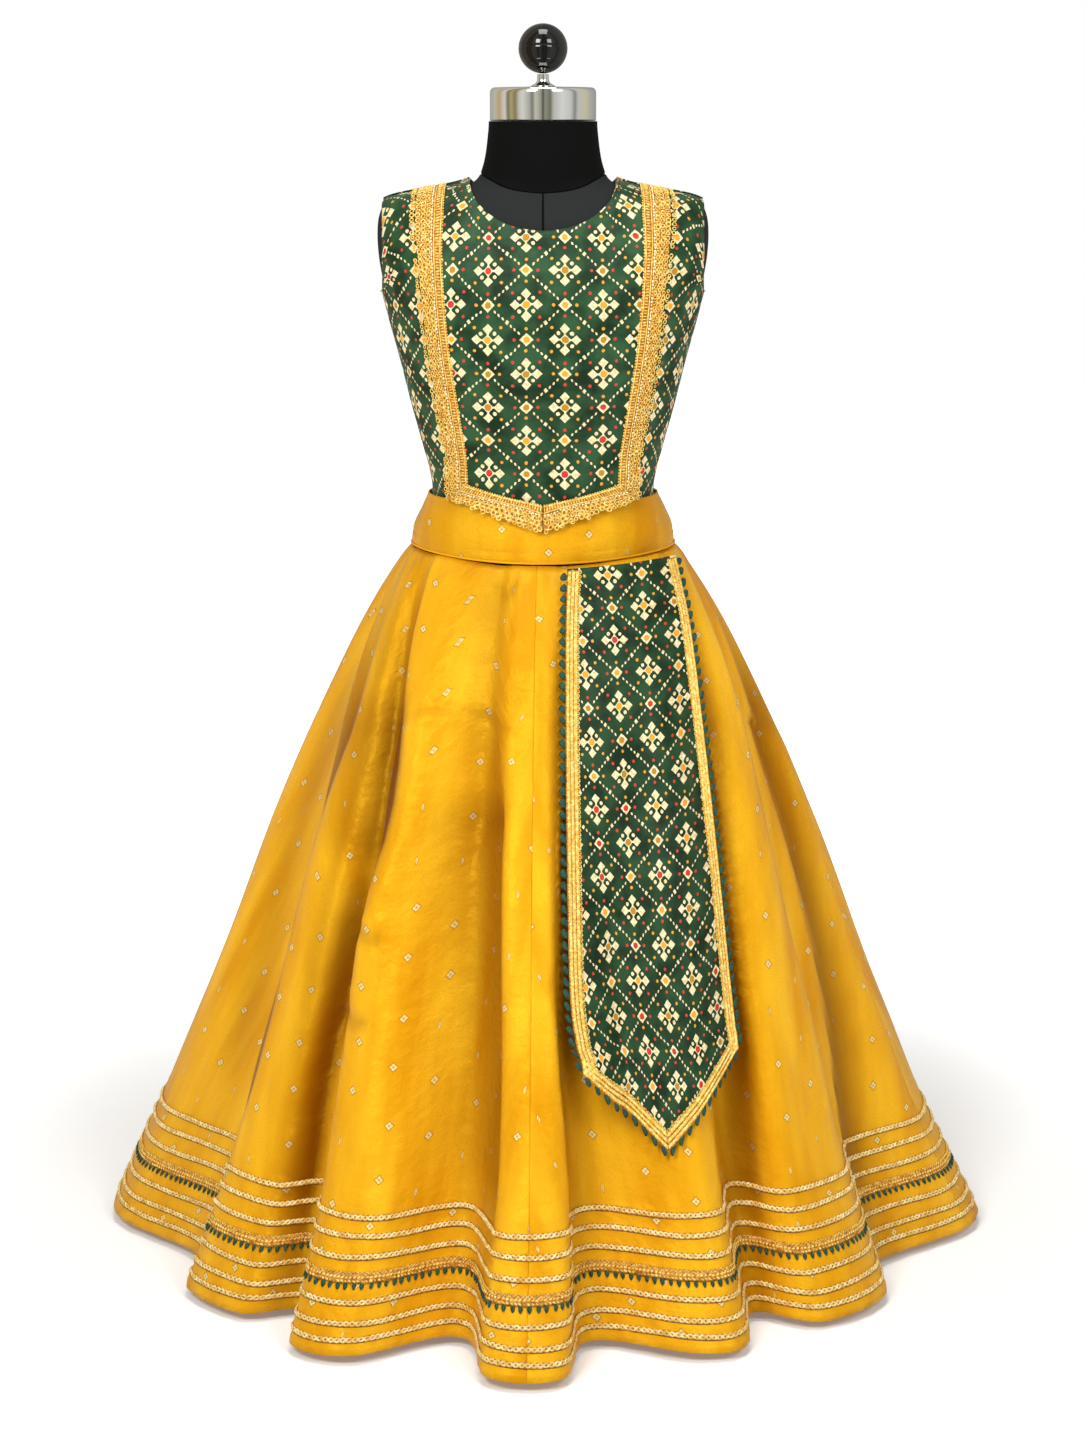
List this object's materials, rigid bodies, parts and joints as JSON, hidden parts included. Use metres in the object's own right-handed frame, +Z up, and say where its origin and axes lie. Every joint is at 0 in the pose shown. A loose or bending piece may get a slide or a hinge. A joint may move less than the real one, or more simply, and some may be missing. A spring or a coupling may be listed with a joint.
{
  "type": "lehenga choli set with a sash panel on a limbless dress form",
  "caption": "Sleeveless printed choli with a pointed hem, flared satin skirt with braided hem and a hanging sash panel, worn by a limbless dress form on a round base.",
  "frame": {"origin": "on the floor under the dress form's axis, at the centre of the base's flat underside", "axes": "+Z up; the front of the garment faces -Y; +X is the wearer's left"},
  "size_m": [0.7495, 0.7608, 1.012],
  "materials": {
    "green_print": "satin",
    "gold_lace": "matte",
    "yellow_satin": "satin",
    "gota_braid": "satin",
    "green_picot": "matte",
    "black_jersey": "matte",
    "chrome": "polished",
    "ball_gloss": "polished",
    "base_enamel": "satin"
  },
  "bodies": {
    "root": {"form_torso": "black_jersey", "form_neck_cap": "chrome", "form_stem": "chrome", "form_ball": "ball_gloss", "form_pole": "chrome", "form_base": "base_enamel", "choli_front_centre": "green_print", "choli_front_left": "green_print", "choli_front_right": "green_print", "choli_back_left": "green_print", "choli_back_right": "green_print", "choli_lace_left": "gold_lace", "choli_lace_right": "gold_lace", "choli_lace_hem_left": "gold_lace", "choli_lace_hem_right": "gold_lace", "waistband_front": "yellow_satin", "waistband_back": "yellow_satin", "waist_piping": "yellow_satin", "skirt_gore_front_left": "yellow_satin", "skirt_gore_side_left": "yellow_satin", "skirt_gore_back_left": "yellow_satin", "skirt_gore_back_right": "yellow_satin", "skirt_gore_side_right": "yellow_satin", "skirt_gore_front_right": "yellow_satin", "hem_braid_1": "gota_braid", "hem_braid_2": "gota_braid", "hem_braid_3": "gota_braid", "hem_braid_4": "gota_braid", "hem_braid_5": "gota_braid", "hem_braid_6": "gota_braid", "hem_crochet_band": "gold_lace", "sash_panel": "green_print", "sash_lace_near": "gold_lace", "sash_lace_far": "gold_lace", "sash_lace_point_near": "gold_lace", "sash_lace_point_far": "gold_lace", "sash_picots_near": "green_picot", "sash_picots_point_near": "green_picot", "sash_picots_point_far": "green_picot", "sash_picots_far": "green_picot"}
  },
  "joints": []
}
